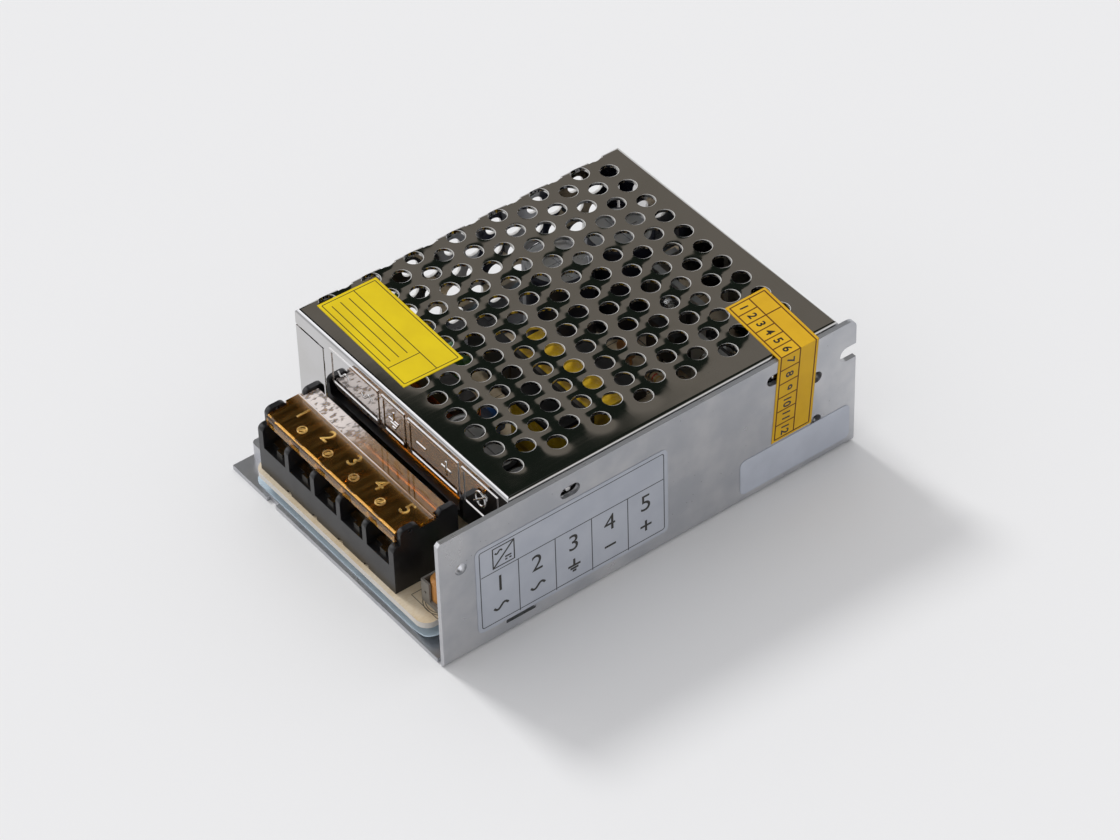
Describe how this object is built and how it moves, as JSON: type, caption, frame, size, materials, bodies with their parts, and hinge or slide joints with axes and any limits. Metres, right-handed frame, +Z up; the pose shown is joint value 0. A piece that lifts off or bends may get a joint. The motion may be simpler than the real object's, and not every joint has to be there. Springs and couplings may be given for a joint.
{
  "type": "mesh case switching power supply",
  "caption": "Open-frame switching power supply in a folded base with a perforated cover and a lidded screw terminal block.",
  "frame": {"origin": "centre of the base's underside", "axes": "+X across the case towards the tall labelled side wall, +Y along the case away from the terminals, +Z up"},
  "size_m": [0.0781, 0.111, 0.0361],
  "materials": {
    "base_alloy": "satin, lightly brushed",
    "cover_nickel": "bright nickel plate, near mirror",
    "zinc_steel": "bright zinc plate",
    "insulating_sheet": "thin bluish film",
    "board_laminate": "cream laminate with dark print",
    "moulded_black": "satin moulded plastic",
    "nickel_contact": "bright nickel plate",
    "amber_clear": "clear amber plastic",
    "adjuster_grey": "grey moulded plastic",
    "adjuster_orange": "orange moulded plastic",
    "lamp_green": "tinted clear epoxy",
    "fuse_glass": "clear glass",
    "tinned_metal": "tinned, bright",
    "box_yellow": "moulded box",
    "ferrite": "ground ferrite",
    "copper_wire": "enamelled copper",
    "ceramic_blue": "dipped coating",
    "ceramic_green": "dipped coating",
    "ceramic_tan": "dipped coating",
    "epoxy_black": "moulded epoxy",
    "can_sleeve": "shrunk sleeve, bare metal top",
    "bobbin_plastic": "moulded phenolic",
    "winding_tape": "polyester tape",
    "core_tape": "polyester tape",
    "sink_alloy": "bare sheet",
    "resistor_body": "lacquered, banded",
    "diode_body": "moulded epoxy with a pale band",
    "label_yellow": "printed vinyl",
    "label_amber": "printed vinyl",
    "label_silver": "printed metallised vinyl"
  },
  "bodies": {
    "chassis": {"base_chassis": "base_alloy", "mesh_cover": "cover_nickel", "cover_screws": "zinc_steel", "insulating_film": "insulating_sheet", "board_standoffs": "zinc_steel", "board_screws": "zinc_steel", "circuit_board": "board_laminate", "terminal_housing": "moulded_black", "terminal_contacts": "nickel_contact", "adjuster_body": "adjuster_grey", "indicator_lamp": "lamp_green", "fuse_tube": "fuse_glass", "fuse_ends": "tinned_metal", "line_filter_capacitor": "box_yellow", "choke_core": "ferrite", "choke_windings": "copper_wire", "bypass_capacitors": "ceramic_blue", "surge_thermistor": "ceramic_green", "bridge_rectifier": "epoxy_black", "input_capacitor_1": "can_sleeve", "input_capacitor_2": "can_sleeve", "transformer_core": "ferrite", "transformer_bobbin": "bobbin_plastic", "transformer_winding": "winding_tape", "transformer_tape": "core_tape", "output_capacitor_1": "can_sleeve", "output_capacitor_2": "can_sleeve", "output_capacitor_3": "can_sleeve", "output_choke_core": "ferrite", "output_choke_coil": "copper_wire", "primary_heatsink": "sink_alloy", "secondary_heatsink": "sink_alloy", "switching_transistor": "epoxy_black", "output_rectifier": "epoxy_black", "heatsink_screws": "zinc_steel", "heatsink_nuts": "zinc_steel", "controller_chip": "epoxy_black", "optocoupler": "epoxy_black", "auxiliary_capacitor": "can_sleeve", "resistors": "resistor_body", "ceramic_capacitors": "ceramic_tan", "diodes": "diode_body", "notice_label": "label_yellow", "seal_label": "label_amber", "rating_label": "label_silver", "type_label": "label_silver"},
    "lid": {"terminal_lid": "amber_clear"},
    "clamp_1": {"clamp_washer_1": "nickel_contact"},
    "clamp_2": {"clamp_washer_2": "nickel_contact"},
    "clamp_3": {"clamp_washer_3": "nickel_contact"},
    "clamp_4": {"clamp_washer_4": "nickel_contact"},
    "clamp_5": {"clamp_washer_5": "nickel_contact"},
    "screw_1": {"terminal_screw_1": "nickel_contact"},
    "screw_2": {"terminal_screw_2": "nickel_contact"},
    "screw_3": {"terminal_screw_3": "nickel_contact"},
    "screw_4": {"terminal_screw_4": "nickel_contact"},
    "screw_5": {"terminal_screw_5": "nickel_contact"},
    "adjuster": {"adjuster_rotor": "adjuster_orange"}
  },
  "joints": [
    {"name": "lid_hinge", "type": "hinge", "parent": "chassis", "child": "lid", "pos_m": [0, -0.0395, 0.0206], "axis": [-1, 0, 0], "range_deg": [0, 95]},
    {"name": "adjuster_turn", "type": "hinge", "parent": "chassis", "child": "adjuster", "pos_m": [0.0278, -0.0471, 0.01], "axis": [0, 0, 1], "range_deg": [-120, 120]},
    {"name": "clamp_lift_1", "type": "slide", "parent": "chassis", "child": "clamp_1", "axis": [0, 0, 1], "range_m": [0, 0.0025]},
    {"name": "screw_turn_1", "type": "hinge", "parent": "clamp_1", "child": "screw_1", "pos_m": [-0.02385, -0.0464, 0.015], "axis": [0, 0, 1], "range_deg": [0, 1800]},
    {"name": "clamp_lift_2", "type": "slide", "parent": "chassis", "child": "clamp_2", "axis": [0, 0, 1], "range_m": [0, 0.0025]},
    {"name": "screw_turn_2", "type": "hinge", "parent": "clamp_2", "child": "screw_2", "pos_m": [-0.01435, -0.0464, 0.015], "axis": [0, 0, 1], "range_deg": [0, 1800]},
    {"name": "clamp_lift_3", "type": "slide", "parent": "chassis", "child": "clamp_3", "axis": [0, 0, 1], "range_m": [0, 0.0025]},
    {"name": "screw_turn_3", "type": "hinge", "parent": "clamp_3", "child": "screw_3", "pos_m": [-0.00485, -0.0464, 0.015], "axis": [0, 0, 1], "range_deg": [0, 1800]},
    {"name": "clamp_lift_4", "type": "slide", "parent": "chassis", "child": "clamp_4", "axis": [0, 0, 1], "range_m": [0, 0.0025]},
    {"name": "screw_turn_4", "type": "hinge", "parent": "clamp_4", "child": "screw_4", "pos_m": [0.00465, -0.0464, 0.015], "axis": [0, 0, 1], "range_deg": [0, 1800]},
    {"name": "clamp_lift_5", "type": "slide", "parent": "chassis", "child": "clamp_5", "axis": [0, 0, 1], "range_m": [0, 0.0025]},
    {"name": "screw_turn_5", "type": "hinge", "parent": "clamp_5", "child": "screw_5", "pos_m": [0.01415, -0.0464, 0.015], "axis": [0, 0, 1], "range_deg": [0, 1800]}
  ],
  "couplings": [
    {"joint": "screw_turn_1", "follows": "clamp_lift_1", "rad_per_m": 12566},
    {"joint": "screw_turn_2", "follows": "clamp_lift_2", "rad_per_m": 12566},
    {"joint": "screw_turn_3", "follows": "clamp_lift_3", "rad_per_m": 12566},
    {"joint": "screw_turn_4", "follows": "clamp_lift_4", "rad_per_m": 12566},
    {"joint": "screw_turn_5", "follows": "clamp_lift_5", "rad_per_m": 12566}
  ]
}
